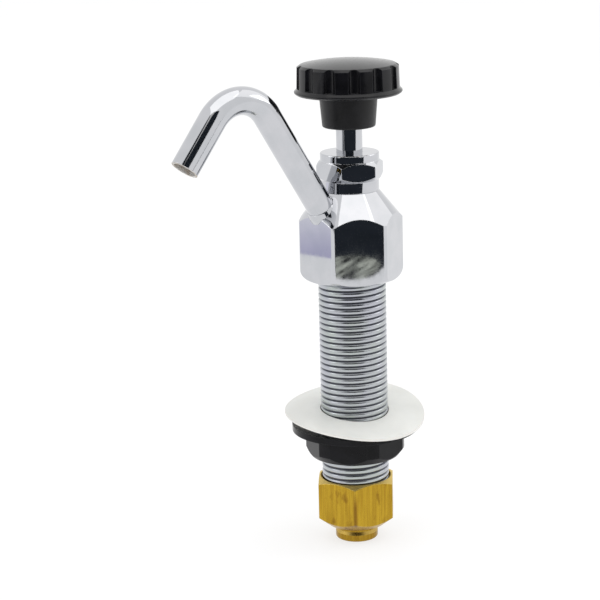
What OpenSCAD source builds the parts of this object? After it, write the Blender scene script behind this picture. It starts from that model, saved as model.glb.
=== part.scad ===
// Dipper well faucet. Millimetres, +Z up. The origin is on the shank's axis, at the underside of the
// hex body, which is the face that sits on the counter. Bearings are in degrees, seen from above:
// 0 faces -Y and 90 faces +X.

/* [Valve body] */
// Size of the body across its flats
body_af = 28.1; // [27:0.1:30]
// Bearing of one corner of the body's hex
body_corner = 40; // [0:1:59]
// Diameter that the body's corners are turned to
body_turned_d = 31.8; // [30.6:0.1:32]
// Height of the body, from its foot to its neck
body_h = 27.2; // [26:0.1:30]
// Height at which the cone on top of the body starts
body_shoulder_z = 18.2; // [17.5:0.1:20.5]
// Diameter of the neck at the top of the cone
body_neck_d = 17.4; // [16.5:0.1:17.6]
// Radius that rounds the foot of the body
body_foot_r = 2.9; // [1:0.1:3]

/* [Bonnet] */
// Size of the bonnet's hex across its flats
bonnet_af = 18.3; // [17.8:0.1:19]
// Bearing of one corner of the bonnet's hex
bonnet_corner = 47; // [0:1:59]
// Diameter that the bonnet's corners are turned to
bonnet_turned_d = 21; // [20:0.1:21.1]
// Diameter of the collar above the hex
bonnet_collar_d = 17.9; // [17:0.1:18]
// Diameter of the collar below the hex
bonnet_foot_d = 17.6; // [17:0.1:18]
// Height of the bonnet above the body
bonnet_h = 11.5; // [11:0.1:12.5]

/* [Knob] */
// Diameter of the bead at the knob's lower rim
knob_rim_d = 32.5; // [32:0.1:36]
// Diameter of the knob's side at the top
knob_side_d = 30.6; // [30:0.1:31.5]
// Diameter of the smooth domed face
knob_face_d = 28.4; // [26:0.1:29]
// Height of the dome above the rim of its face
knob_dome_h = 1.4; // [1:0.1:3]
// Diameter of the hub where it meets the knob
knob_hub_top_d = 17.5; // [16:0.1:20]
// Diameter of the hub at its foot
knob_hub_foot_d = 16.1; // [15:0.1:16.5]
// Height of the hub below the knob
knob_hub_h = 9.9; // [8.5:0.1:12]
// Height of the knob's side, from its foot to the chamfer
knob_side_h = 8.2; // [6:0.1:11]
// Number of grooves in the knob's side
knob_grooves = 13; // [8:1:16]
// Depth of the grooves
knob_groove_depth = 1.1; // [0.4:0.1:1.2]

/* [Stem] */
// Diameter of the stem where it shows
stem_d = 7.95; // [7.5:0.05:8]
// Pitch of the stem's thread
stem_pitch = 1.5875; // [1:0.0125:2]
// Turns of the knob from shut to fully open
stem_turns = 2; // [1:0.25:2]
// Length of the stem that shows between the bonnet and the knob's hub
stem_show = 7.7; // [5:0.1:10]

/* [Spout] */
// Outside diameter of the spout's tube
spout_d = 8.3; // [7.5:0.1:8.4]
// Thickness of the tube's wall
spout_wall = 0.8; // [0.6:0.1:1.2]
// Bearing of the spout
spout_bearing = -49; // [-80:1:80]
// Lean of the rising leg from upright
spout_rise_lean = 33.1; // [30:0.1:36]
// Length of the rising leg outside the body
spout_rise_l = 36.9; // [30:0.1:45]
// Radius of the bend along the middle of the tube
spout_bend_r = 12.4; // [10:0.1:20]
// Lean of the falling leg from upright
spout_fall_lean = 39.2; // [20:0.1:50]
// Length of the falling leg
spout_fall_l = 16.4; // [10:0.1:40]

/* [Shank] */
// Diameter over the crests of the shank's thread
shank_d = 20.8; // [20.4:0.05:21]
// Pitch of the shank's thread, fourteen to the inch
shank_pitch = 1.8143; // [1.5:0.0001:2]
// Depth of the shank's thread
shank_thread_depth = 0.85; // [0.6:0.05:1]
// Diameter of the waterway through the shank
shank_bore_d = 12; // [9:0.1:13]
// Length of the shank below the body
shank_l = 69; // [66:0.5:70]

/* [Deck washer] */
// Diameter of the deck washer
washer_d = 43.2; // [40:0.1:48]
// Thickness of the deck washer
washer_t = 0.6; // [0.4:0.1:1.2]
// Bearing towards which the washer droops
washer_bearing = 19; // [0:1:359]
// Tilt of the washer down towards that bearing
washer_tilt = 7.4; // [2:0.1:8]
// Bearing along which the washer is bowed
washer_bow_bearing = 54; // [0:1:359]
// Radius of that bow
washer_bow_r = 118; // [110:1:400]

/* [Locknut] */
// Size of the locknut's hex across its flats
locknut_af = 28.3; // [26:0.1:30]
// Bearing of one corner of the locknut's hex
locknut_corner = 21; // [0:1:59]
// Diameter that the locknut's corners are turned to
locknut_turned_d = 30.6; // [30.2:0.1:32]
// Diameter of the locknut's flange
locknut_flange_d = 38.9; // [34:0.1:40]
// Thickness of the locknut's flange
locknut_flange_t = 2; // [1.5:0.1:3]
// Height of the locknut's hex below its flange
locknut_hex_h = 8; // [6:0.1:8]
// Gap between the locknut's foot and the coupling nut's mouth
locknut_gap = 7.4; // [5:0.1:9]

/* [Coupling nut] */
// Size of the coupling nut across its flats
nut_af = 22.9; // [22.8:0.1:25]
// Bearing of one corner of the coupling nut's hex
nut_corner = 58; // [0:1:59]
// Diameter of the nut's nose
nose_d = 13.2; // [12:0.1:15]
// Diameter of the hole for the supply riser
riser_hole_d = 9.8; // [9.6:0.1:10]
// Length of the shank that is inside the nut
nut_cover = 5.5; // [4.5:0.1:6.5]
// Height of the nut's hex
nut_hex_h = 15.5; // [15:0.1:17]
// Height of the nut's nose
nose_h = 4.8; // [3:0.1:8]

/* [Hidden] */
$fn = 96;
eps = 0.01;

// Fits: a running fit has this radial gap, a slack fit is loose, and a fixed fit has none
run_gap = 0.04;
slack_gap = 0.5;
washer_gap = 0.2;

// Bores and depths inside the body, from its foot upwards
socket_depth = 6;
seal_t = 1;
seal_inner_r = 7;
web_top_z = 11.4;
seat_r = 4.2;
seat_bore_r = 2.6;
seat_foot_z = 8;
seat_flange_r = 5;
seat_top_z = 12.6;
seat_lip_w = 0.6;
seat_lip_h = 0.4;
chamber_r = 5.3;
bonnet_bore_r = 6.25;
bonnet_shoulder_z = body_h - 4.7;
gasket_t = 0.7;

// Bonnet, from the body's neck upwards
bonnet_z = body_h;
bonnet_foot_h = 3.3;
bonnet_collar_h = 2.3;
bonnet_chamfer_lean = 40;
bonnet_top_round = 0.35;
bonnet_thread_r = 4.76;
bonnet_top_z = bonnet_z + bonnet_h;
bonnet_thread_top_z = bonnet_top_z - 4.5;
oring_r = 0.6;
oring_groove_h = 1.3;
oring_lower_z = bonnet_top_z - 3.3;
oring_upper_z = bonnet_top_z - 1.4;
oring_slip = 0.02;
bonnet_land = 2 * oring_r + oring_slip;

// Stem, from its foot upwards
stem_r = stem_d / 2;
stem_lift = stem_turns * stem_pitch;
cup_r = 4.6;
cup_foot_z = 13.4;
disc_r = 4;
disc_top_z = 14.6;
cup_top_z = 17;
stem_neck_r = 3.5;
stem_thread_z = bonnet_shoulder_z + 1.1;
stem_thread_top_z = bonnet_thread_top_z - stem_lift - 0.4;
screw_r = 1.3;
screw_head_r = 2.2;
screw_head_h = 1.2;
screw_top_z = 20;
slot_w = 0.6;
slot_depth = 0.6;
spigot_r = 3.1;
spigot_l = 9.2;
hub_foot_z = bonnet_top_z + stem_show;
stem_shoulder_z = hub_foot_z + 0.8;
spigot_top_z = stem_shoulder_z + spigot_l;
tip_chamfer = 0.4;

// Knob, from the hub's foot upwards
hub_recess_r = stem_r + 0.35;
hub_round = 0.5;
hub_fillet = 1.1;
rim_foot_z = hub_foot_z + knob_hub_h;
bead_r = 0.55;
bead_z = rim_foot_z + 0.8;
rim_top_z = rim_foot_z + 1.7;
side_top_z = rim_foot_z + knob_side_h;
face_z = side_top_z + 0.7;
face_edge = 0.15;
side_flare = 0.2;
insert_r = 5.2;
insert_flange_r = 6;
insert_flange_h = 1.5;
insert_top_z = spigot_top_z + 0.6;
groove_r = 1.9;
groove_phase = 6.7;

// Spout: its tube ends beside the body's chamber, and its root is a point on its axis just inside the cone
spout_r = spout_d / 2;
spout_inner_r = spout_r - spout_wall;
spout_end_land = 0.78;
spout_end_drop = 0.41;
spout_root_in = 1.23;
cone_slope = (body_turned_d - body_neck_d) / 2 / (body_h - body_shoulder_z);
spout_end_r = chamber_r + spout_end_land + spout_r * cos(spout_rise_lean);
spout_end_z = bonnet_shoulder_z - spout_end_drop - spout_r * sin(spout_rise_lean);
spout_in = (body_turned_d / 2 - (spout_end_z - body_shoulder_z) * cone_slope - spout_end_r)
    / (sin(spout_rise_lean) + cos(spout_rise_lean) * cone_slope) - spout_root_in;
spout_root_r = spout_end_r + spout_in * sin(spout_rise_lean);
spout_root_z = spout_end_z + spout_in * cos(spout_rise_lean);
port_r = 2.6;
port_l = 7.4;
braze_w = 0.55;
braze_h = 1.6;
braze_lip = 0.1;
bend_thin = 0.05;
bend_lap = 0.02;

// Shank and the pieces on it
shank_r = shank_d / 2;
shank_tip_chamfer = 0.8;
thread_top_z = -1;
thread_half = shank_thread_depth * tan(30);
cone_mouth_r = 8;
cone_depth = 2;
nut_z = nut_cover - shank_l;
locknut_z = nut_z + locknut_gap + locknut_hex_h + locknut_flange_t;
locknut_chamfer = 2;
locknut_land = 0.3;
nut_foot_z = nut_z - nut_hex_h;
nut_mouth_r = shank_r + slack_gap;
nut_mouth_depth = 1.5;
nut_floor_z = nut_foot_z + 2.8;
nut_top_chamfer = 1.2;
nut_foot_r = 9;
nut_foot_chamfer = 3.3;
nose_round = 0.7;
nose_neck_w = 0.4;
nose_neck_h = 1.6;
nut_mouth_land = 0.2;
ring_t = 0.8;
ring_r = 9.6;
cone_foot_r = 8.8;
cone_top_r = 5.9;
cone_land_h = 1.2;
cone_h = 4.2;
cone_bore_r = riser_hole_d / 2 + 0.05;
ring_bore_r = riser_hole_d / 2 + 0.2;

// Points on an arc about centre c, from angle a to angle b
function arc(c, r, a, b, n = 8) = [for (i = [0:n]) let (t = a + (b - a) * i / n) c + r * [cos(t), sin(t)]];

// A hex bar across flats af, with one corner at a bearing
module hex_bar(af, corner, z, h) {
    translate([0, 0, z]) rotate([0, 0, corner - 90]) cylinder(h = h, r = af / 2 / cos(30), $fn = 6);
}

// A round bore or rod along Z between two heights
module rod(r, z0, z1) {
    translate([0, 0, z0]) cylinder(h = z1 - z0, r = r);
}

// A flat ring between two radii and two heights
module ring(r_in, r_out, z0, z1) {
    difference() {
        rod(r_out, z0, z1);
        rod(r_in, z0 - 1, z1 + 1);
    }
}

// Places its children on the spout's rising axis, with +Z along the axis and z = 0 where it meets the cone
module on_spout_axis() {
    rotate([0, 0, spout_bearing - 90])
        translate([spout_root_r, 0, spout_root_z]) rotate([0, spout_rise_lean, 0]) children();
}

// The spout's path filled with radius r: a rising leg, a bend drawn a little thinner and a falling leg.
// The legs run past their ends by extra, and into the bend by a hair so that they join it.
module spout_path(r, extra) {
    a1 = spout_rise_lean;
    a2 = spout_fall_lean;
    rise_end = [spout_root_r, spout_root_z] + spout_rise_l * [sin(a1), cos(a1)];
    bend_c = rise_end + spout_bend_r * [cos(a1), -sin(a1)];
    fall_start = bend_c + spout_bend_r * [cos(a2), sin(a2)];
    on_spout_axis() translate([0, 0, -spout_in - extra])
        cylinder(h = spout_rise_l + spout_in + extra + bend_lap, r = r, $fn = 48);
    rotate([0, 0, spout_bearing - 90]) {
        translate([bend_c[0], 0, bend_c[1]]) rotate([90, 0, 0]) rotate([0, 0, a2])
            rotate_extrude(angle = 180 - a1 - a2)
                translate([spout_bend_r, 0]) circle(r = r - bend_thin, $fn = 48);
        translate([fall_start[0], 0, fall_start[1]]) rotate([0, 180 - a2, 0]) translate([0, 0, -bend_lap])
            cylinder(h = spout_fall_l + extra + bend_lap, r = r, $fn = 48);
    }
}

// Hex bar turned to a cone on top, with its foot rounded
module body_form() {
    turned_r = body_turned_d / 2;
    intersection() {
        hex_bar(body_af, body_corner, 0, body_h);
        rotate_extrude() polygon(concat(
            [[0, 0]],
            arc([turned_r - body_foot_r, body_foot_r], body_foot_r, -90, 0, 10),
            [[turned_r, body_shoulder_z], [body_neck_d / 2, body_h], [0, body_h]]));
    }
}

// Solid brass body: bored for the bonnet above and the shank below, and drilled for the spout
module valve_body() {
    color("gainsboro") difference() {
        body_form();
        rod(shank_r, -1, socket_depth + seal_t);
        rod(seat_r, socket_depth, web_top_z + 1);
        rod(chamber_r, web_top_z, bonnet_shoulder_z + 1);
        rod(bonnet_bore_r, bonnet_shoulder_z, body_h + 1);
        on_spout_axis() {
            translate([0, 0, -spout_in]) cylinder(h = spout_in + spout_rise_l / 2, r = spout_r);
            translate([0, 0, -spout_in - port_l]) cylinder(h = port_l + 1, r = port_r);
        }
    }
}

// Renewable seat with a raised lip, screwed into the body's web
module valve_seat() {
    color("peru") difference() {
        union() {
            rod(seat_r, seat_foot_z, web_top_z + eps);
            rod(seat_flange_r, web_top_z, seat_top_z - seat_lip_h);
            rod(seat_bore_r + seat_lip_w, seat_top_z - seat_lip_h - eps, seat_top_z);
        }
        rod(seat_bore_r, seat_foot_z - 1, seat_top_z + 1);
    }
}

// Flat seal between the end of the shank and the body
module shank_seal() {
    color("dimgray") ring(seal_inner_r, shank_r - run_gap, socket_depth, socket_depth + seal_t);
}

// Long straight nipple; its thread is drawn as rings of the true pitch, below the body
module shank() {
    thread_l = shank_l + thread_top_z - shank_tip_chamfer - thread_half;
    grooves = floor(thread_l / shank_pitch);
    color("lightslategray") difference() {
        rotate_extrude() polygon(concat(
            [[0, -shank_l], [shank_r - shank_tip_chamfer, -shank_l], [shank_r, -shank_l + shank_tip_chamfer]],
            [for (i = [grooves:-1:0], p = [-1, 0, 1])
                [shank_r - (p == 0 ? shank_thread_depth : 0),
                    thread_top_z - i * shank_pitch + p * thread_half]],
            [[shank_r, socket_depth], [0, socket_depth]]));
        rod(shank_bore_d / 2, -shank_l - 1, socket_depth + 1);
        translate([0, 0, -shank_l - eps])
            cylinder(h = cone_depth, r1 = cone_mouth_r, r2 = shank_bore_d / 2);
    }
}

// Bent tube, open at both ends
module spout() {
    color("gainsboro") difference() {
        spout_path(spout_r, 0);
        spout_path(spout_inner_r, 1);
    }
}

// Small fillet of braze where the tube leaves the cone
module spout_braze() {
    color("gainsboro") difference() {
        on_spout_axis() rotate_extrude() polygon([[spout_r, -braze_h], [spout_r + braze_w, -braze_h],
            [spout_r + braze_w, 0], [spout_r + braze_lip, braze_h], [spout_r, braze_h]]);
        body_form();
    }
}

// Packing nut in one piece: a collar, a hex chamfered both ways and a lower collar, with its thread below
module bonnet() {
    turned_r = bonnet_turned_d / 2;
    foot_r = bonnet_foot_d / 2;
    collar_r = bonnet_collar_d / 2;
    hex_z = bonnet_z + bonnet_foot_h;
    collar_z = bonnet_top_z - bonnet_collar_h;
    low_rise = (turned_r - foot_r) * tan(bonnet_chamfer_lean);
    high_rise = (turned_r - collar_r) * tan(bonnet_chamfer_lean);
    color("gainsboro") difference() {
        union() {
            rod(foot_r, bonnet_z, hex_z + eps);
            intersection() {
                hex_bar(bonnet_af, bonnet_corner, hex_z, collar_z - hex_z);
                rotate_extrude() polygon([[0, hex_z], [foot_r, hex_z], [turned_r, hex_z + low_rise],
                    [turned_r, collar_z - high_rise], [collar_r, collar_z], [0, collar_z]]);
            }
            rotate_extrude() polygon(concat([[0, collar_z - eps], [collar_r, collar_z - eps]],
                arc([collar_r, bonnet_top_z] - bonnet_top_round * [1, 1], bonnet_top_round, 0, 90, 4),
                [[0, bonnet_top_z]]));
            rod(bonnet_bore_r, bonnet_shoulder_z + gasket_t, bonnet_z + eps);
        }
        rod(bonnet_thread_r, bonnet_shoulder_z, bonnet_thread_top_z);
        rod(stem_r + run_gap, bonnet_thread_top_z - 1, bonnet_top_z + 1);
        for (z = [oring_lower_z, oring_upper_z])
            rod(stem_r + run_gap + bonnet_land, z - oring_groove_h / 2, z + oring_groove_h / 2);
    }
}

// Fibre ring under the foot of the bonnet's thread
module bonnet_gasket() {
    color("firebrick") ring(chamber_r, bonnet_bore_r, bonnet_shoulder_z, bonnet_shoulder_z + gasket_t);
}

// O-ring in a groove of the bonnet, close round the stem
module stem_oring(z) {
    color("black") translate([0, 0, z]) rotate_extrude()
        translate([stem_r + run_gap + oring_r, 0]) circle(r = oring_r, $fn = 32);
}

module stem_oring_lower() {
    stem_oring(oring_lower_z);
}

module stem_oring_upper() {
    stem_oring(oring_upper_z);
}

// Stem: a cup for the seat washer, the threaded part, the shaft and the spigot that carries the knob
module stem() {
    color("silver") difference() {
        union() {
            rod(cup_r, cup_foot_z, cup_top_z);
            rod(stem_neck_r, cup_top_z - eps, stem_thread_z + eps);
            rod(bonnet_thread_r - run_gap, stem_thread_z, stem_thread_top_z);
            rod(stem_r, stem_thread_top_z - eps, stem_shoulder_z);
            rod(spigot_r, stem_shoulder_z - eps, spigot_top_z - tip_chamfer);
            translate([0, 0, spigot_top_z - tip_chamfer - eps])
                cylinder(h = tip_chamfer, r1 = spigot_r, r2 = spigot_r - tip_chamfer);
        }
        rod(disc_r + run_gap, cup_foot_z - 1, disc_top_z);
        rod(screw_r, disc_top_z - 1, screw_top_z);
    }
}

// Rubber washer that closes on the seat; its screw passes through it
module seat_washer() {
    color("black") ring(screw_r + run_gap, disc_r, seat_top_z, disc_top_z - run_gap);
}

// Slotted screw that holds the seat washer in the stem's cup
module seat_screw() {
    color("goldenrod") difference() {
        union() {
            rod(screw_r, seat_top_z - run_gap - eps, screw_top_z);
            rod(screw_head_r, seat_top_z - run_gap - screw_head_h, seat_top_z - run_gap);
        }
        translate([-screw_head_r - 1, -slot_w / 2, seat_top_z - run_gap - screw_head_h - 1])
            cube([2 * screw_head_r + 2, slot_w, slot_depth + 1]);
    }
}

// Brass insert moulded into the hub, pressed on the stem's spigot
module knob_insert() {
    color("goldenrod") difference() {
        union() {
            rod(insert_r, stem_shoulder_z, insert_top_z);
            rod(insert_flange_r, insert_top_z - insert_flange_h, insert_top_z);
        }
        rod(spigot_r, stem_shoulder_z - 1, spigot_top_z);
    }
}

// Moulded knob: domed face, chamfered and grooved side, bead at the rim, tapered hub
module knob() {
    face_r = knob_face_d / 2;
    side_r = knob_side_d / 2;
    rim_r = knob_rim_d / 2;
    hub_top_r = knob_hub_top_d / 2;
    hub_foot_r = knob_hub_foot_d / 2;
    dome_r = (face_r * face_r + knob_dome_h * knob_dome_h) / (2 * knob_dome_h);
    dome_c = face_z + knob_dome_h - dome_r;
    dome_a = acos(face_r / dome_r);
    color("black") difference() {
        rotate_extrude($fn = 180) polygon(concat(
            [[0, hub_foot_z]],
            arc([hub_foot_r - hub_round, hub_foot_z + hub_round], hub_round, -90, 0, 4),
            arc([hub_top_r + hub_fillet, rim_foot_z - hub_fillet], hub_fillet, 180, 90, 5),
            [[rim_r - 1.3 * bead_r, rim_foot_z]],
            arc([rim_r - bead_r, bead_z], bead_r, -75, 30, 5),
            [[side_r + side_flare, rim_top_z], [side_r, side_top_z],
                [face_r + face_edge, face_z - face_edge / 3]],
            arc([0, dome_c], dome_r, dome_a, 90, 12)));
        for (i = [0:knob_grooves - 1])
            rotate([0, 0, -90 + groove_phase + i * 360 / knob_grooves])
                translate([side_r - knob_groove_depth + groove_r, 0, rim_top_z + side_flare])
                    cylinder(h = knob_side_h, r = groove_r, $fn = 32);
        rod(hub_recess_r, hub_foot_z - 1, stem_shoulder_z);
        rod(insert_r, stem_shoulder_z - 1, insert_top_z);
        rod(insert_flange_r, insert_top_z - insert_flange_h, insert_top_z);
    }
}

// How far the bowed and tilted sheet drops below its middle, over a point at a radius and a bearing
function sheet_drop(r, b) =
    let (along = r * cos(b - washer_bearing), aside = r * sin(b - washer_bearing),
        turn = washer_bow_bearing - washer_bearing,
        near = along * cos(turn) + aside * sin(turn),
        shift = near * near / (2 * washer_bow_r) * sin(washer_tilt),
        s = (along + shift) / cos(washer_tilt) * cos(turn) + aside * sin(turn),
        sag = washer_bow_r - sqrt(washer_bow_r * washer_bow_r - s * s))
    along * tan(washer_tilt) + sag / cos(washer_tilt);

// Thin plastic washer: an annulus cut from a bowed and tilted sheet, which rests on the locknut's flange
module deck_washer() {
    sheet_z = locknut_z + run_gap + max([for (b = [0:5:355]) sheet_drop(locknut_flange_d / 2, b)]);
    color("whitesmoke") intersection() {
        translate([0, 0, sheet_z]) rotate([0, 0, washer_bearing - 90]) rotate([0, washer_tilt, 0])
            rotate([0, 0, washer_bow_bearing - washer_bearing])
                translate([0, 0, -washer_bow_r]) rotate([90, 0, 0]) difference() {
                    cylinder(h = 2 * washer_d, r = washer_bow_r + washer_t, center = true, $fn = 360);
                    cylinder(h = 3 * washer_d, r = washer_bow_r, center = true, $fn = 360);
                }
        ring(shank_r + washer_gap, washer_d / 2, locknut_z - 5, locknut_z + 12);
    }
}

// Flanged hex nut, its corners turned down and chamfered at the foot
module locknut() {
    hex_foot_z = locknut_z - locknut_flange_t - locknut_hex_h;
    corner_r = locknut_turned_d / 2;
    color("dimgray") difference() {
        union() {
            rod(locknut_flange_d / 2, locknut_z - locknut_flange_t, locknut_z);
            intersection() {
                hex_bar(locknut_af, locknut_corner, hex_foot_z, locknut_hex_h + eps);
                rotate_extrude() polygon([[0, hex_foot_z], [locknut_af / 2 - locknut_land, hex_foot_z],
                    [corner_r, hex_foot_z + locknut_chamfer], [corner_r, locknut_z], [0, locknut_z]]);
            }
        }
        rod(shank_r + run_gap, hex_foot_z - 1, locknut_z + 1);
    }
}

// Brass nut: threaded mouth above, narrow nose below with the hole for the riser
module coupling_nut() {
    corner_r = nut_af / 2 / cos(30);
    nose_r = nose_d / 2;
    nose_foot_z = nut_foot_z - nose_h;
    color("goldenrod") difference() {
        union() {
            intersection() {
                hex_bar(nut_af, nut_corner, nut_foot_z, nut_hex_h);
                rotate_extrude() polygon([[0, nut_foot_z], [nut_foot_r, nut_foot_z],
                    [corner_r, nut_foot_z + nut_foot_chamfer], [corner_r, nut_z - nut_top_chamfer],
                    [nut_mouth_r + nut_mouth_land, nut_z], [0, nut_z]]);
            }
            rotate_extrude() polygon(concat([[0, nut_foot_z + 1], [nose_r - nose_neck_w, nut_foot_z + 1],
                [nose_r - nose_neck_w, nut_foot_z - nose_neck_h], [nose_r, nut_foot_z - nose_neck_h - 1]],
                arc([nose_r - nose_round, nose_foot_z + nose_round], nose_round, 0, -90, 4),
                [[0, nose_foot_z]]));
        }
        rod(nut_mouth_r, nut_z - nut_mouth_depth, nut_z + 1);
        rod(shank_r + run_gap, nut_floor_z, nut_z);
        rod(riser_hole_d / 2, nose_foot_z - 1, nut_z);
    }
}

// Thin ring between the coupling nut's floor and the cone washer
module friction_ring() {
    color("silver") ring(ring_bore_r, ring_r, nut_floor_z, nut_floor_z + ring_t);
}

// Rubber cone that seals on the riser inside the shank's end
module cone_washer() {
    z = nut_floor_z + ring_t;
    color("black") difference() {
        union() {
            rod(cone_foot_r, z, z + cone_land_h);
            translate([0, 0, z + cone_land_h - eps])
                cylinder(h = cone_h - cone_land_h, r1 = cone_foot_r, r2 = cone_top_r);
        }
        rod(cone_bore_r, z - 1, z + cone_h + 1);
    }
}

valve_body();
valve_seat();
shank_seal();
shank();
spout();
spout_braze();
bonnet();
bonnet_gasket();
stem_oring_lower();
stem_oring_upper();
stem();
seat_washer();
seat_screw();
knob_insert();
knob();
deck_washer();
locknut();
coupling_nut();
friction_ring();
cone_washer();
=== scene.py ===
import math

import bmesh
import bpy
from mathutils import Matrix, Vector


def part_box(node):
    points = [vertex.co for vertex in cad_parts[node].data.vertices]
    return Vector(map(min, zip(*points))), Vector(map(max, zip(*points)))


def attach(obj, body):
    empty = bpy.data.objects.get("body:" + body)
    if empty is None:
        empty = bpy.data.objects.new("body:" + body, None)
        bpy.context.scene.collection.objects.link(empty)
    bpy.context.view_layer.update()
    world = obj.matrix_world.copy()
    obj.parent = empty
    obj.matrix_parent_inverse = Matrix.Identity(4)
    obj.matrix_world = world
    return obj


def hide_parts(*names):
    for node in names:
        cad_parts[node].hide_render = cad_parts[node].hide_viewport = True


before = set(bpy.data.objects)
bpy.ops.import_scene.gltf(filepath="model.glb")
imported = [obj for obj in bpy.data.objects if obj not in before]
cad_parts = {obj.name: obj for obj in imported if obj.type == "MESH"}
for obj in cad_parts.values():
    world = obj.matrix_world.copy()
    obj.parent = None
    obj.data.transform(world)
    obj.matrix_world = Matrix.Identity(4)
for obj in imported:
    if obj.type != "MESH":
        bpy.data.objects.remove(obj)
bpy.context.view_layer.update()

# The camera stands 0.6 m in front of the faucet, a hand's width above its knob, and looks down on it
# through a long lens.
stand = (0, -0.6, 0.144)
yaw, pitch, roll = math.radians(-1.531), math.radians(14.124), math.radians(1.510)
focal_mm, sensor_mm, near_clip = 121.2, 36, 0.01
ahead = Vector((math.sin(yaw) * math.cos(pitch), math.cos(yaw) * math.cos(pitch), -math.sin(pitch)))
level = ahead.cross(Vector((0, 0, 1))).normalized()
plumb = ahead.cross(level)
across = level * math.cos(roll) + plumb * math.sin(roll)
upward = level * math.sin(roll) - plumb * math.cos(roll)
lens = bpy.data.cameras.new("camera")
lens.lens, lens.sensor_width, lens.clip_start = focal_mm, sensor_mm, near_clip
lens.dof.use_dof = False
camera = bpy.data.objects.new("camera", lens)
aimed = Matrix((across, upward, -ahead)).transposed().to_4x4()
camera.matrix_world = Matrix.Translation(stand) @ aimed
bpy.context.scene.collection.objects.link(camera)
bpy.context.scene.camera = camera
bpy.context.scene.view_settings.view_transform = "Standard"


# The studio is a white room with soft lamps over a sweep of white paper. What the metal mirrors lies and
# stands on the paper: the dark of the room past the table's edge, a lilac card and a flat grey cloth with
# painted folds.
def add(tree, kind, inputs=None, **settings):
    """Adds one node: settings are its properties, and inputs are constants or the sockets that feed it.

    An input goes by its name or its number. MapRange goes from 1 and 2 to 3 and 4. Mix blends numbers 2
    and 3, or colours 6 and 7, by 0."""
    node = tree.nodes.new("ShaderNode" + kind)
    for name, value in settings.items():
        setattr(node, name, value)
    for name, value in (inputs or {}).items():
        if isinstance(value, bpy.types.NodeSocket):
            tree.links.new(value, node.inputs[name])
        else:
            node.inputs[name].default_value = value
    return node


def linear(code):
    """A colour written as sRGB hex, in the linear values that a shader takes."""
    parts = [int(code[i:i + 2], 16) / 255 for i in (1, 3, 5)]
    return tuple(c / 12.92 if c <= 0.04045 else ((c + 0.055) / 1.055) ** 2.4 for c in parts) + (1.0,)


def mirrored(tree):
    """Is 1 for what the camera sees straight on, in metal or through a clear thing, and 0 for its light."""
    path = add(tree, "LightPath").outputs
    seen = add(tree, "Math", {0: path["Is Camera Ray"], 1: path["Is Glossy Ray"]}, operation="ADD")
    return add(tree, "Math", {0: seen.outputs[0], 1: path["Is Transmission Ray"]}, operation="ADD",
               use_clamp=True).outputs[0]


world = bpy.data.worlds.new("white room")
bpy.context.scene.world = world
world.use_nodes = True
tree = world.node_tree
tree.nodes.clear()
soft = add(tree, "Background", {"Color": linear("#f6f6f8"), "Strength": 1.0})
white = add(tree, "Background", {"Color": linear("#ffffff"), "Strength": 1.0})
both = add(tree, "MixShader", {0: mirrored(tree), 1: soft.outputs[0], 2: white.outputs[0]})
add(tree, "OutputWorld", {"Surface": both.outputs[0]})


def lamp(name, place, size, watts, tint):
    """A square soft lamp that faces the faucet."""
    light = bpy.data.lights.new(name, "AREA")
    light.shape, light.size, light.energy, light.color = "SQUARE", size, watts, tint
    holder = bpy.data.objects.new(name, light)
    turn = (-Vector(place)).to_track_quat("-Z", "Y").to_matrix().to_4x4()
    holder.matrix_world = Matrix.Translation(place) @ turn
    bpy.context.scene.collection.objects.link(holder)


warm, neutral = (1, 0.98, 0.95), (1, 1, 1)
lamp("soft lamp above", (0.12, -0.2, 1.1), 1.2, 3.0, warm)
lamp("soft lamp above at the right", (0.98, 0.31, 0.80), 1.1, 1.5, warm)
lamp("soft lamp at the left", (-1.1, -0.2, 0.5), 0.5, 1.2, neutral)
lamp("soft lamp at the right", (1.1, 0.2, 0.5), 0.4, 0.8, neutral)


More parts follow.
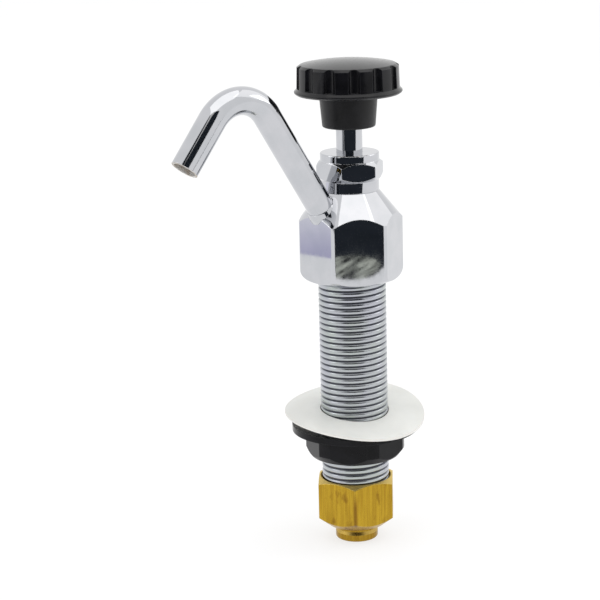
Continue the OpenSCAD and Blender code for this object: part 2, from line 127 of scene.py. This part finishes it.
def surface(name, colours, patch_mm, rough, grain_mm, bump_mm, edge=None, **shader):
    """A surface whose colour, gloss and relief all vary.

    Two colours blend over patches of patch_mm (x, y, z), a grain of grain_mm moves the roughness between
    two values and stands bump_mm high, and edge gives a rounding in mm, the colour laid onto it and how
    much of that colour: real wear on some finishes, a painted highlight on others. The sizes are real ones,
    but a grain under about 0.3 mm is drawn coarser to show."""
    made = bpy.data.materials.new(name)
    made.use_nodes = True
    tree = made.node_tree
    tree.nodes.clear()
    place = add(tree, "TexCoord").outputs["Object"]
    spread = add(tree, "Mapping", {"Vector": place, "Scale": [1000 / mm for mm in patch_mm]})
    patches = add(tree, "TexNoise", {"Vector": spread.outputs[0], "Scale": 1.0, "Detail": 4.0})
    patches = add(tree, "MapRange", {"Value": patches.outputs[0], 1: 0.38, 2: 0.62})
    colour = add(tree, "Mix", {0: patches.outputs[0], 6: linear(colours[0]), 7: linear(colours[1])},
                 data_type="RGBA").outputs[2]
    fine = add(tree, "Mapping", {"Vector": place, "Scale": [1000 / mm for mm in grain_mm]})
    grain = add(tree, "TexNoise", {"Vector": fine.outputs[0], "Scale": 1.0, "Detail": 3.0})
    gloss = add(tree, "MapRange", {"Value": grain.outputs[0], 1: 0.3, 2: 0.7, 3: rough[0], 4: rough[1]})
    relief = add(tree, "Bump", {"Height": grain.outputs[0], "Strength": 1.0, "Distance": bump_mm / 1000})
    if edge:
        # edges take a colour of their own: real wear on some finishes, a painted highlight on others
        round_mm, wear_and_highlight_colour, amount = edge
        rounded = add(tree, "Bevel", {"Radius": round_mm / 1000}, samples=4)
        tree.links.new(rounded.outputs[0], relief.inputs["Normal"])
        flat = add(tree, "NewGeometry").outputs["Normal"]
        bend = add(tree, "VectorMath", {0: rounded.outputs[0], 1: flat}, operation="DOT_PRODUCT")
        wear_and_highlight = add(tree, "MapRange", {"Value": bend.outputs["Value"], 1: 0.999, 2: 0.93, 3: 0.0, 4: amount})
        colour = add(tree, "Mix", {0: wear_and_highlight.outputs[0], 6: colour, 7: linear(wear_and_highlight_colour)},
                     data_type="RGBA").outputs[2]
    inputs = {"Base Color": colour, "Roughness": gloss.outputs[0], "Normal": relief.outputs[0], **shader}
    bsdf = add(tree, "BsdfPrincipled", inputs)
    add(tree, "OutputMaterial", {"Surface": bsdf.outputs[0]})
    return made, bsdf, place


def piece(name, bm, finish, crease=35):
    """Makes an object of a finished mesh, smooth-shaded up to its sharp edges."""
    bmesh.ops.recalc_face_normals(bm, faces=bm.faces)
    mesh = bpy.data.meshes.new(name)
    bm.to_mesh(mesh)
    bm.free()
    for face in mesh.polygons:
        face.use_smooth = True
    mesh.set_sharp_from_angle(angle=math.radians(crease))
    mesh.materials.append(finish)
    made = bpy.data.objects.new(name, mesh)
    bpy.context.scene.collection.objects.link(made)
    return made


# Paper sweep: heavy white paper, matt and faintly mottled, laid flat under the faucet. What is seen of
# it glows by most of its white, so that only the faucet's shadow darkens it.
floor_gap, floor_size, glow_share = 0.0002, 4, 0.7
floor_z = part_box("coupling_nut")[0][2] - floor_gap
paper, bsdf, _ = surface("white paper sweep, matt", ("#ffffff", "#fbfbfa"), (40, 40, 40), (0.8, 0.9),
                         (2, 2, 2), 0.01)
tree = paper.node_tree
glow = add(tree, "Emission", {"Color": linear("#ffffff"), "Strength": 1.03})
mostly = add(tree, "MixShader", {0: glow_share, 1: bsdf.outputs[0], 2: glow.outputs[0]})
shown = add(tree, "MixShader", {0: mirrored(tree), 1: bsdf.outputs[0], 2: mostly.outputs[0]})
tree.links.new(shown.outputs[0], tree.nodes["Material Output"].inputs["Surface"])
bm = bmesh.new()
bmesh.ops.create_grid(bm, x_segments=8, y_segments=8, size=floor_size,
                      matrix=Matrix.Translation((0, 0, floor_z)))
piece("paper_floor", bm, paper)


# Dark room: black felt past the table's edge, which swallows the light and gives the plated flats their
# black. It lies flat and rises as a wall behind the camera, and its edge comes nearer before one flat.
def mirror_only(made):
    """Leaves a thing to be seen in the metal alone."""
    for way in ("camera", "diffuse", "shadow", "transmission"):
        setattr(made, "visible_" + way, False)


def card(name, finish, lift_mm, *outlines):
    """Lays flat shapes just above the paper. A corner may have its own height."""
    bm = bmesh.new()
    for outline in outlines:
        corners = [Vector((*corner, 0)[:3]) for corner in outline]
        bm.faces.new([bm.verts.new(c + Vector((0, 0, floor_z + lift_mm / 1000))) for c in corners])
    mirror_only(piece(name, bm, finish))


no_sheen = {"Specular IOR Level": 0.0}
felt = surface("black felt", ("#22262b", "#292d33"), (30, 30, 30), (0.9, 1.0), (1, 1, 1), 0.05, **no_sheen)[0]
card("dark_room", felt, 1.0,
     ((-1.3, -0.38), (1.3, -0.38), (1.3, -1.65), (-1.3, -1.65)),
     ((0.1188, -0.360), (0.1352, -0.354), (0.174, -0.3987), (0.1178, -0.419)),
     ((-1.2, -1.6, 0), (1.2, -1.6, 0), (1.2, -1.6, 1.6), (0.1, -1.6, 2.2), (-1.2, -1.6, 2.2)))


# Lilac card: uncoated coloured card at the left, cut to four corners and laid flat. Its colour is painted
# darker and more lilac towards its near edge, as painted shade, and gives the body's left flat its soft
# violet patch.
def stain_and_painted_light(bsdf, amount, colour=None, rough=None):
    """Brings a surface towards another colour and another roughness, by an amount from 0 to 1. It lays real
    stains, and also painted shade and painted highlights.
    """
    tree, base, gloss = bsdf.id_data, bsdf.inputs["Base Color"], bsdf.inputs["Roughness"]
    if colour:
        laid = add(tree, "Mix", {0: amount, 6: base.links[0].from_socket, 7: linear(colour)},
                   data_type="RGBA")
        tree.links.new(laid.outputs[2], base)
    if rough:
        dulled = add(tree, "Mix", {0: amount, 2: gloss.links[0].from_socket, 3: rough})
        tree.links.new(dulled.outputs[0], gloss)


near_x, far_x = -0.40, -0.50
lilac, bsdf, place = surface("lilac card", ("#ebebf3", "#e6e6ef"), (20, 20, 20), (0.8, 0.9), (1, 1, 1), 0.01,
                             **no_sheen)
tree = lilac.node_tree
west = add(tree, "SeparateXYZ", {"Vector": place}).outputs["X"]
# painted shade: the card darkens towards its near edge, between near_x and far_x
near_edge_shade = add(tree, "MapRange", {"Value": west, 1: near_x, 2: far_x, 3: 1.0, 4: 0.0})
stain_and_painted_light(bsdf, near_edge_shade.outputs[0], colour="#b9b7d2")
card("lilac_card", lilac, 0.5, ((-0.3525, -0.03), (-0.461, 0.168), (-0.62, 0.21), (-0.62, 0.01)))

# Grey cloth: a woven grey polishing cloth, laid flat in front of the flat that faces the camera. Its folds
# are painted on as light and shade, pale folds and dark creases, and they streak the foot of that flat.
cloth_place, cloth_half, cloth_lift, cloth_turn = (0.1285, -0.367), (0.0145, 0.026), 0.002, math.radians(20)
fold_shading_turn, fold_shading_mm = 0.35, (3, 30)
cloth, bsdf, place = surface("grey cloth, painted folds", ("#16181c", "#c6cabd"), (9, 9, 9), (0.8, 0.9), (2, 2, 2), 0.01,
                             **no_sheen)
tree = cloth.node_tree
# painted light and shade: stretched noise lays pale folds and dark creases on the flat disc
fold_shading = add(tree, "Mapping", {"Vector": place, "Rotation": (0, 0, -cloth_turn - fold_shading_turn)})
fold_shading = add(tree, "Mapping", {"Vector": fold_shading.outputs[0], "Scale": [1000 / mm for mm in fold_shading_mm] + [0]})
fold_shading = add(tree, "TexNoise", {"Vector": fold_shading.outputs[0], "Scale": 1.0, "Detail": 4.0, "Distortion": 0.5})
fold_shading = add(tree, "MapRange", {"Value": fold_shading.outputs[0], 1: 0.43, 2: 0.60})
tree.links.new(fold_shading.outputs[0], bsdf.inputs["Base Color"].links[0].from_node.inputs[0])
laid = Matrix.Translation((*cloth_place, floor_z + cloth_lift)) @ Matrix.Rotation(cloth_turn, 4, "Z")
bm = bmesh.new()
bmesh.ops.create_circle(bm, cap_ends=True, segments=48, radius=1.0,
                        matrix=laid @ Matrix.Diagonal((*cloth_half, 1, 1)))
mirror_only(piece("grey_cloth_painted_folds", bm, cloth))


# Valve body, bonnet, stem and braze: brass, turned and milled from bar, polished, then nickel and chrome
# plated; the bonnet screws into the body and the stem into the bonnet. The plate mirrors the room sharply,
# with a faint haze from the polishing, and its rounded edges are painted paler as a painted highlight.
def dress(finish, *names):
    """Gives CAD nodes a better material."""
    for name in names:
        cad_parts[name].material_slots[0].material = finish


# painted highlight: the edge colour #d4d5d8 lightens the plate on its rounded edges
chrome = surface("bright chrome plate on polished brass", ("#c6c7cb", "#c0c2c6"), (6, 6, 6), (0.02, 0.045),
                 (1.5, 1.5, 3), 0.0005, edge=(0.25, "#d4d5d8", 0.6), Metallic=1.0)[0]
dress(chrome, "valve_body", "bonnet", "spout_braze", "stem")

# Spout: a drawn brass tube, bent on a former and brazed into the cone, then plated with the body. Its
# open end shows the tube's wall, and water has left the bore dull and pale with lime scale.
spout_r, spout_wall, spout_sides = 0.00415, 0.0008, 64
rise_lean, rise_l, bend_r = math.radians(33.1), 0.0369, 0.0124
fall_lean, fall_l, spout_in = math.radians(39.2), 0.0164, 0.00292
rise_steps, bend_steps, fall_steps, tube_weld = 12, 40, 6, 1e-7
# the tube is drawn over the X axis, from its root on the cone, and turned to its bearing at the end
spout_bearing = math.radians(-139)
root = Vector((0.01115, 0, 0.022268))
rise = Vector((math.sin(rise_lean), 0, math.cos(rise_lean)))
fall = Vector((math.sin(fall_lean), 0, -math.cos(fall_lean)))


def pull(bm, edges, vec, times):
    """Extends an open tube along vec in equal steps and returns its new end."""
    for _ in range(times):
        new = bmesh.ops.extrude_edge_only(bm, edges=edges)["geom"]
        verts = [g for g in new if isinstance(g, bmesh.types.BMVert)]
        bmesh.ops.translate(bm, verts=verts, vec=vec / times)
        edges = [g for g in new if isinstance(g, bmesh.types.BMEdge) and len(g.link_faces) == 1]
    return edges


bm = bmesh.new()
ring = bmesh.ops.create_circle(bm, segments=spout_sides, radius=spout_r)["verts"]
bmesh.ops.rotate(bm, verts=ring, cent=(0, 0, 0), matrix=Matrix.Rotation(rise_lean, 3, "Y"))
bmesh.ops.translate(bm, verts=ring, vec=root - rise * spout_in)
edges = pull(bm, list(bm.edges), rise * (rise_l + spout_in), rise_steps)
bend_c = root + rise * rise_l + Vector((math.cos(rise_lean), 0, -math.sin(rise_lean))) * bend_r
ring = list({v for e in edges for v in e.verts})
bent = bmesh.ops.spin(bm, geom=ring + edges, cent=bend_c, axis=(0, 1, 0),
                      angle=math.pi - rise_lean - fall_lean, steps=bend_steps)["geom_last"]
edges = [g for g in bent if isinstance(g, bmesh.types.BMEdge)]
fall_top = sum((e.verts[0].co + e.verts[1].co for e in edges), Vector()) / (2 * len(edges))
pull(bm, edges, fall * fall_l, fall_steps)
bmesh.ops.remove_doubles(bm, verts=bm.verts, dist=tube_weld)
bmesh.ops.recalc_face_normals(bm, faces=bm.faces)
bmesh.ops.solidify(bm, geom=list(bm.faces), thickness=spout_wall)
for face in bm.faces:
    reach = face.calc_center_median() - fall_top
    if reach.dot(fall) > 0 and (reach - fall * reach.dot(fall)).length < spout_r - spout_wall / 2:
        face.material_index = 1
bmesh.ops.rotate(bm, verts=bm.verts, cent=(0, 0, 0), matrix=Matrix.Rotation(spout_bearing, 3, "Z"))
spout = piece("spout_tube", bm, chrome)
spout.data.materials.append(surface("lime scale in a brass tube", ("#c4c3c0", "#a99f92"), (1.5, 1.5, 1.5),
                                    (0.5, 0.7), (0.4, 0.4, 0.4), 0.01)[0])
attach(spout, "valve")
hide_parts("spout")

# Shank: a steel nipple with a pipe thread rolled over its whole length, then zinc plated, and sealed into
# the body's foot. Rolling leaves the crests round and smooth; the plate is duller down in the grooves,
# and the grooves are painted darker as painted shade.
shank_r, bore_r, mouth_r, mouth_depth = 0.01039, 0.006, 0.008, 0.002
pitch_mm, depth_mm, groove_floor_mm = 1.8143, 0.85, 0.02
groove_in, crest_in, shank_sides, thread_weld = 0.0004, 0.00005, 72, 1e-6
zinc, bsdf, place = surface("zinc plate on rolled thread", ("#b6b8c0", "#b4bab8"), (9, 9, 14), (0.14, 0.24),
                            (2.5, 2.5, 2.5), 0.0005, Metallic=1.0)
tree = zinc.node_tree
flat_place = add(tree, "VectorMath", {0: place, 1: (1, 1, 0)}, operation="MULTIPLY")
radius = add(tree, "VectorMath", {0: flat_place.outputs[0]}, operation="LENGTH")
# painted shade: the thread's roots are painted darker (#9a9ca3) towards the groove floor, and made rougher
groove_shade = add(tree, "MapRange", {"Value": radius.outputs["Value"], 1: shank_r - groove_in,
                                2: shank_r - crest_in, 3: 1.0, 4: 0.0})
stain_and_painted_light(bsdf, groove_shade.outputs[0], colour="#9a9ca3", rough=0.5)
low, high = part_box("shank")[0][2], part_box("shank")[1][2]
# one turn of the thread's outline in mm: how far in from the crest, and how far up
outline = [(-depth_mm, 0), (-depth_mm, groove_floor_mm), (-0.18, 0.29), (-0.06, 0.38), (-0.01, 0.55),
           (0, 0.905), (-0.01, 1.26), (-0.06, 1.43), (-0.18, 1.52), (-depth_mm, pitch_mm - groove_floor_mm),
           (-depth_mm, pitch_mm)]
thread_pitch = pitch_mm / 1000
turns, spare_turns = math.ceil((high - low) / thread_pitch), 3
bm = bmesh.new()
verts = [bm.verts.new((shank_r + r / 1000, 0, low - 2 * thread_pitch + z / 1000)) for r, z in outline]
edges = [bm.edges.new(pair) for pair in zip(verts, verts[1:])]
bmesh.ops.spin(bm, geom=verts + edges, cent=(0, 0, 0), axis=(0, 0, 1),
               dvec=(0, 0, thread_pitch / shank_sides), angle=2 * math.pi, steps=shank_sides)
turn_once = bm.verts[:] + bm.edges[:] + bm.faces[:]
for k in range(1, turns + spare_turns):
    copy = bmesh.ops.duplicate(bm, geom=turn_once)["geom"]
    verts = [g for g in copy if isinstance(g, bmesh.types.BMVert)]
    bmesh.ops.translate(bm, verts=verts, vec=(0, 0, k * thread_pitch))
bmesh.ops.remove_doubles(bm, verts=bm.verts, dist=thread_weld)
rims, bores = [], []
for z, way in ((high, 1), (low, -1)):
    cut = bmesh.ops.bisect_plane(bm, geom=bm.verts[:] + bm.edges[:] + bm.faces[:], plane_co=(0, 0, z),
                                 plane_no=(0, 0, way), clear_outer=True)["geom_cut"]
    rims.append([g for g in cut if isinstance(g, bmesh.types.BMEdge)])
for z, r in ((high, bore_r), (low + mouth_depth, bore_r), (low, mouth_r)):
    ring = bmesh.ops.create_circle(bm, segments=shank_sides, radius=r,
                                   matrix=Matrix.Translation((0, 0, z)))["verts"]
    bores.append(list({e for v in ring for e in v.link_edges}))
loops = [rims[0], *bores, rims[1]]
for upper, under in zip(loops, loops[1:]):
    bmesh.ops.bridge_loops(bm, edges=[e for e in upper + under if e.is_valid])
shank = piece("threaded_shank", bm, zinc, crease=50)
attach(shank, "valve")
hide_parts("shank")

# Knob: phenolic, compression moulded round a brass insert that grips the stem. A polished mould leaves its
# top and sides glossy; the hub came from a plainer part of the mould, and hands have rubbed the edges of
# the grooves pale.
hub_top_z, hub_full_z, hub_dulling = 0.0575, 0.0560, 0.22
phenolic, bsdf, place = surface("black phenolic, moulded", ("#0b0b0d", "#131316"), (4, 4, 4), (0.12, 0.2),
                                (0.8, 0.8, 0.8), 0.002, edge=(0.3, "#3a3b3f", 0.35),
                                **{"Specular IOR Level": 0.3})
tree = phenolic.node_tree
height = add(tree, "SeparateXYZ", {"Vector": place}).outputs["Z"]
hub = add(tree, "MapRange", {"Value": height, 1: hub_top_z, 2: hub_full_z, 3: 0.0, 4: hub_dulling})
gloss = bsdf.inputs["Roughness"]
dulled = add(tree, "Math", {0: gloss.links[0].from_socket, 1: hub.outputs[0]}, operation="ADD")
tree.links.new(dulled.outputs[0], gloss)
dress(phenolic, "knob")

# Deck washer: punched from thin white plastic sheet and loose on the shank, so it bows and tilts a little
# where it hangs. Its faces are satin, and its cut rim is faintly pink.
sheet = surface("white plastic sheet, punched", ("#e6e7e2", "#dfe0db"), (12, 12, 12), (0.32, 0.45), (1, 1, 1),
                0.004, edge=(0.2, "#e3cfc6", 0.7),
                **{"Subsurface Weight": 0.15, "Subsurface Radius": (1, 0.9, 0.8),
                   "Subsurface Scale": 0.001})[0]
dress(sheet, "deck_washer")

# Locknut: black nylon, injection moulded in one with its flange, and run up the thread under the washer.
# It has the soft gloss of its mould, with paler scuffed edges.
nylon = surface("black nylon, moulded", ("#0b0b0d", "#131316"), (5, 5, 5), (0.1, 0.17), (0.3, 0.3, 0.3),
                0.002, edge=(0.3, "#3a3b3d", 0.4), **{"Specular IOR Level": 0.15})[0]
dress(nylon, "locknut")

# Coupling nut: turned from drawn hexagonal brass bar, left raw and screwed on the shank's foot. Drawing
# leaves fine lines along the bar, and handling leaves brown stains. The coarse turned chamfer is rougher,
# and it and the rounded edges are painted pale as a painted highlight.
# The valve's hidden brass pieces are turned from the same bar.
stain_mm, stained_hex = (3, 3, 5), "#7a5420"
# the front corner of the hex is laid darkest brown down its lower part, and the nose is stained all over
corner_x, corner_half, corner_core = -0.0004, 0.0009, 0.0002
corner_y, corner_z = (-0.0110, -0.0125), (-0.0655, -0.0700)
nose_z, chamfer_z = (-0.0780, -0.0800), (-0.0720, -0.0700)
# real draw lines are finer: 0.4 mm is about the least that shows
brass, bsdf, place = surface("raw brass, drawn and turned", ("#be9b32", "#ab882b"), (0.8, 0.8, 14),
                             (0.2, 0.34), (0.4, 0.4, 6), 0.003, edge=(0.25, "#d8bb58", 0.7), Metallic=1.0)
# painted highlight: the edge colour #d8bb58 above paints the nut's rounded edges pale
tree = brass.node_tree
blots = add(tree, "Mapping", {"Vector": place, "Scale": [1000 / mm for mm in stain_mm]})
blots = add(tree, "TexNoise", {"Vector": blots.outputs[0], "Scale": 1.0, "Detail": 4.0})
blots = add(tree, "MapRange", {"Value": blots.outputs[0], 1: 0.56, 2: 0.72, 3: 0.0, 4: 0.7})
spot = add(tree, "SeparateXYZ", {"Vector": place}).outputs
beside = add(tree, "Math", {0: spot["X"], 1: corner_x}, operation="SUBTRACT")
beside = add(tree, "Math", {0: beside.outputs[0]}, operation="ABSOLUTE")
beside = add(tree, "MapRange", {"Value": beside.outputs[0], 1: corner_half, 2: corner_core, 3: 0.0, 4: 0.8})
before = add(tree, "MapRange", {"Value": spot["Y"], 1: corner_y[0], 2: corner_y[1]})
lower = add(tree, "MapRange", {"Value": spot["Z"], 1: corner_z[0], 2: corner_z[1]})
corner = add(tree, "Math", {0: beside.outputs[0], 1: before.outputs[0]}, operation="MULTIPLY")
corner = add(tree, "Math", {0: corner.outputs[0], 1: lower.outputs[0]}, operation="MULTIPLY")
nose = add(tree, "MapRange", {"Value": spot["Z"], 1: nose_z[0], 2: nose_z[1], 3: 0.0, 4: 0.35})
blots = add(tree, "Math", {0: blots.outputs[0], 1: corner.outputs[0]}, operation="MAXIMUM")
blots = add(tree, "Math", {0: blots.outputs[0], 1: nose.outputs[0]}, operation="MAXIMUM")
stain_and_painted_light(bsdf, blots.outputs[0], colour=stained_hex)
# painted highlight: upward faces at the top, the turned chamfer, are painted pale #e8cf80 and made rougher;
# the nose's slanted facet takes a little of it
chamfer_highlight = add(tree, "SeparateXYZ", {"Vector": add(tree, "NewGeometry").outputs["True Normal"]})
chamfer_highlight = add(tree, "MapRange", {"Value": chamfer_highlight.outputs["Z"], 1: 0.15, 2: 0.3, 3: 0.0, 4: 0.9})
top = add(tree, "MapRange", {"Value": spot["Z"], 1: chamfer_z[0], 2: chamfer_z[1], 3: 0.3, 4: 1.0})
chamfer_highlight = add(tree, "Math", {0: chamfer_highlight.outputs[0], 1: top.outputs[0]}, operation="MULTIPLY")
stain_and_painted_light(bsdf, chamfer_highlight.outputs[0], colour="#e8cf80", rough=0.6)
dress(brass, "coupling_nut", "valve_seat", "seat_screw", "knob_insert")

# Seals: rings and a cone washer moulded in black rubber, a fibre ring pressed red under the bonnet, and a
# friction ring stamped from steel sheet under the cone washer. Rubber and fibre are dull, and the steel
# has the soft gloss of rolled sheet.
rubber = surface("black rubber, moulded", ("#101011", "#17171a"), (3, 3, 3), (0.55, 0.7), (0.3, 0.3, 0.3),
                 0.01)[0]
dress(rubber, "shank_seal", "stem_oring_lower", "stem_oring_upper", "seat_washer", "cone_washer")
fibre = surface("red fibre, pressed", ("#6e2a22", "#5c211b"), (2, 2, 2), (0.6, 0.8), (0.2, 0.2, 0.2), 0.01)[0]
dress(fibre, "bonnet_gasket")
steel = surface("steel sheet, stamped", ("#9b9c9d", "#8b8c8e"), (3, 3, 3), (0.25, 0.4), (1, 1, 0.3), 0.004,
                Metallic=1.0)[0]
dress(steel, "friction_ring")
